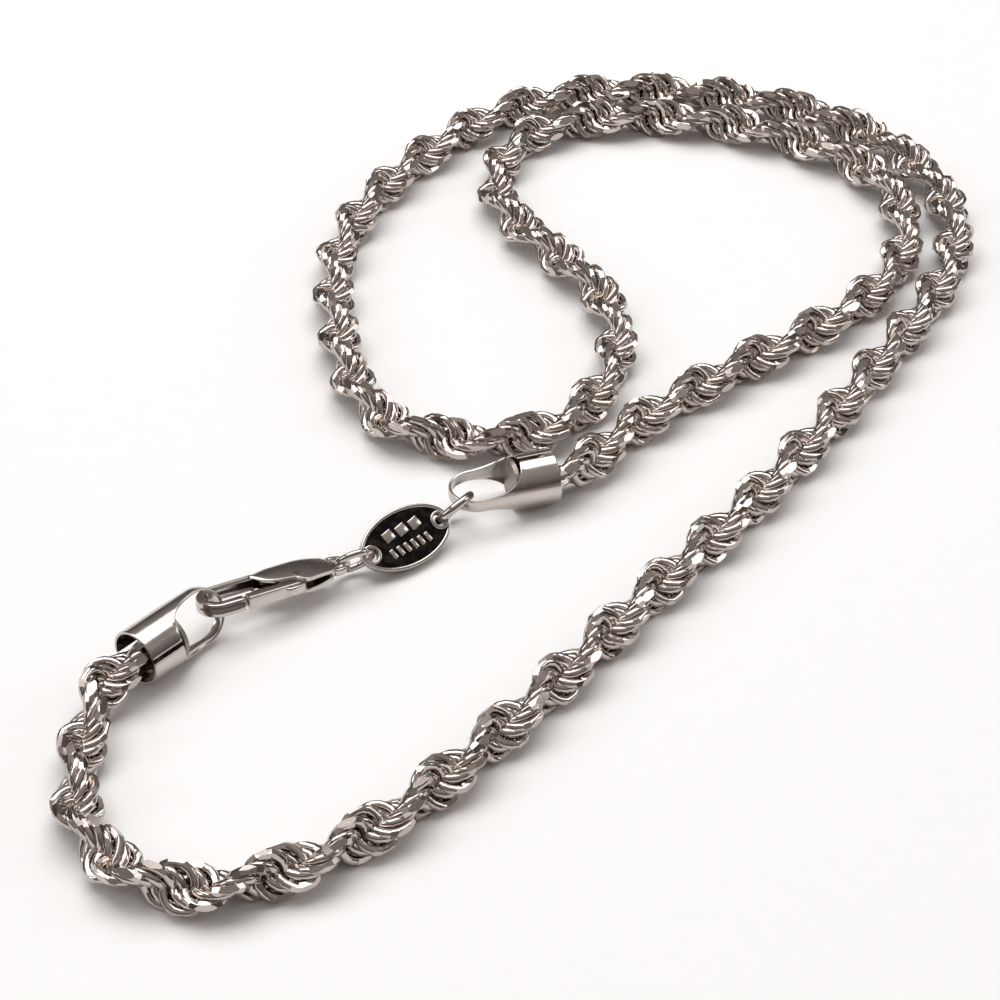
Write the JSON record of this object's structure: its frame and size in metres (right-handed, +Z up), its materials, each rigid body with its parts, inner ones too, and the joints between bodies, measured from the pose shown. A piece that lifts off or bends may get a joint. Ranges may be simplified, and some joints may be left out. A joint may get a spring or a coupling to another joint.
{
  "type": "rope chain necklace",
  "caption": "Clasped rope chain necklace of linked diamond-cut rings, with end caps, jump rings, an oval tag and a lobster clasp with a sprung lever.",
  "frame": {"origin": "on the surface that the necklace lies on, under the middle of its outline", "axes": "+Z up; +Y across the necklace's longest extent, away from the clasp"},
  "size_m": [0.1029, 0.1561, 0.0066],
  "materials": {
    "chain_silver": "polished, diamond-cut silver",
    "cap_silver": "polished silver sheet",
    "solder": "silver solder",
    "ring_silver": "polished silver wire",
    "tag_silver": "silver with a darkened field",
    "clasp_silver": "polished silver",
    "pin_silver": "polished silver wire",
    "spring_steel": "spring steel"
  },
  "bodies": {
    "chain_outer": {"chain_section_04": "chain_silver", "chain_section_05": "chain_silver", "chain_section_06": "chain_silver", "chain_section_07": "chain_silver", "chain_section_08": "chain_silver", "chain_section_09": "chain_silver", "chain_section_10": "chain_silver", "chain_section_11": "chain_silver", "chain_section_12": "chain_silver", "chain_section_13": "chain_silver", "chain_section_14": "chain_silver", "chain_section_15": "chain_silver", "chain_section_16": "chain_silver", "chain_section_17": "chain_silver", "chain_section_18": "chain_silver"},
    "chain_start": {"end_cap_1": "cap_silver", "solder_1": "solder", "chain_section_01": "chain_silver", "chain_section_02": "chain_silver", "chain_section_03": "chain_silver"},
    "chain_middle": {"chain_section_19": "chain_silver", "chain_section_20": "chain_silver", "chain_section_21": "chain_silver", "chain_section_22": "chain_silver", "chain_section_23": "chain_silver", "chain_section_24": "chain_silver", "chain_section_25": "chain_silver", "chain_section_26": "chain_silver", "chain_section_27": "chain_silver", "chain_section_28": "chain_silver"},
    "chain_inner": {"chain_section_29": "chain_silver", "chain_section_30": "chain_silver", "chain_section_31": "chain_silver", "chain_section_32": "chain_silver", "chain_section_33": "chain_silver", "chain_section_34": "chain_silver", "chain_section_35": "chain_silver", "chain_section_36": "chain_silver", "chain_section_37": "chain_silver", "chain_section_38": "chain_silver", "chain_section_39": "chain_silver"},
    "chain_end": {"chain_section_40": "chain_silver", "chain_section_41": "chain_silver", "chain_section_42": "chain_silver", "chain_section_43": "chain_silver", "chain_section_44": "chain_silver", "chain_section_45": "chain_silver", "chain_section_46": "chain_silver", "end_cap_2": "cap_silver", "solder_2": "solder"},
    "ring_a": {"jump_ring_a": "ring_silver"},
    "tag": {"oval_tag": "tag_silver"},
    "ring_b": {"jump_ring_b": "ring_silver"},
    "clasp": {"clasp_body": "clasp_silver", "lever_pin": "pin_silver", "lever_spring": "spring_steel"},
    "lever": {"clasp_lever": "clasp_silver"}
  },
  "joints": [
    {"name": "fold_at_start", "type": "hinge", "parent": "chain_outer", "child": "chain_start", "pos_m": [-0.03411, -0.07534, 0.0025], "axis": [-0.0752, 0.9968, 0.0278], "range_deg": [-2, 6], "deforming": ["chain_section_04"]},
    {"name": "fold_at_far_turn", "type": "hinge", "parent": "chain_outer", "child": "chain_middle", "pos_m": [0.03797, 0.06674, 0.0025], "axis": [-0.5946, -0.804, 0.0089], "range_deg": [-2, 8], "deforming": ["chain_section_18"]},
    {"name": "fold_at_near_turn", "type": "hinge", "parent": "chain_middle", "child": "chain_inner", "pos_m": [-0.02128, 0.0001, 0.0025], "axis": [-0.4136, -0.91, 0.0294], "range_deg": [-2, 6], "deforming": ["chain_section_28"]},
    {"name": "fold_at_end", "type": "hinge", "parent": "chain_inner", "child": "chain_end", "pos_m": [0.036, 0.05904, 0.0025], "axis": [-0.6147, -0.7887, 0.0095], "range_deg": [-2, 6], "deforming": ["chain_section_39"]},
    {"name": "ring_a_swing", "type": "hinge", "parent": "chain_end", "child": "ring_a", "pos_m": [-0.0113, -0.01608, 0.00299], "axis": [-0.8094, -0.5869, 0.0199], "range_deg": [-1, 4]},
    {"name": "tag_swing", "type": "hinge", "parent": "ring_a", "child": "tag", "pos_m": [-0.01438, -0.01975, 0.00266], "axis": [-0.8333, -0.5516, 0.0355], "range_deg": [-1, 4]},
    {"name": "ring_b_swing", "type": "hinge", "parent": "tag", "child": "ring_b", "pos_m": [-0.02147, -0.02592, 0.00266], "axis": [-0.8682, -0.4933, 0.0536], "range_deg": [-1, 4]},
    {"name": "clasp_swing", "type": "hinge", "parent": "ring_b", "child": "clasp", "pos_m": [-0.02528, -0.0277, 0.00266], "axis": [-0.8551, -0.5138, 0.0698], "range_deg": [-1, 3]},
    {"name": "lever_press", "type": "hinge", "parent": "clasp", "child": "lever", "pos_m": [-0.02912, -0.03058, 0.00308], "axis": [0.0306, -0.1842, -0.9824], "range_deg": [0, 12], "stiffness_Nm_per_rad": 0.0002, "deforming": ["lever_spring"]}
  ]
}
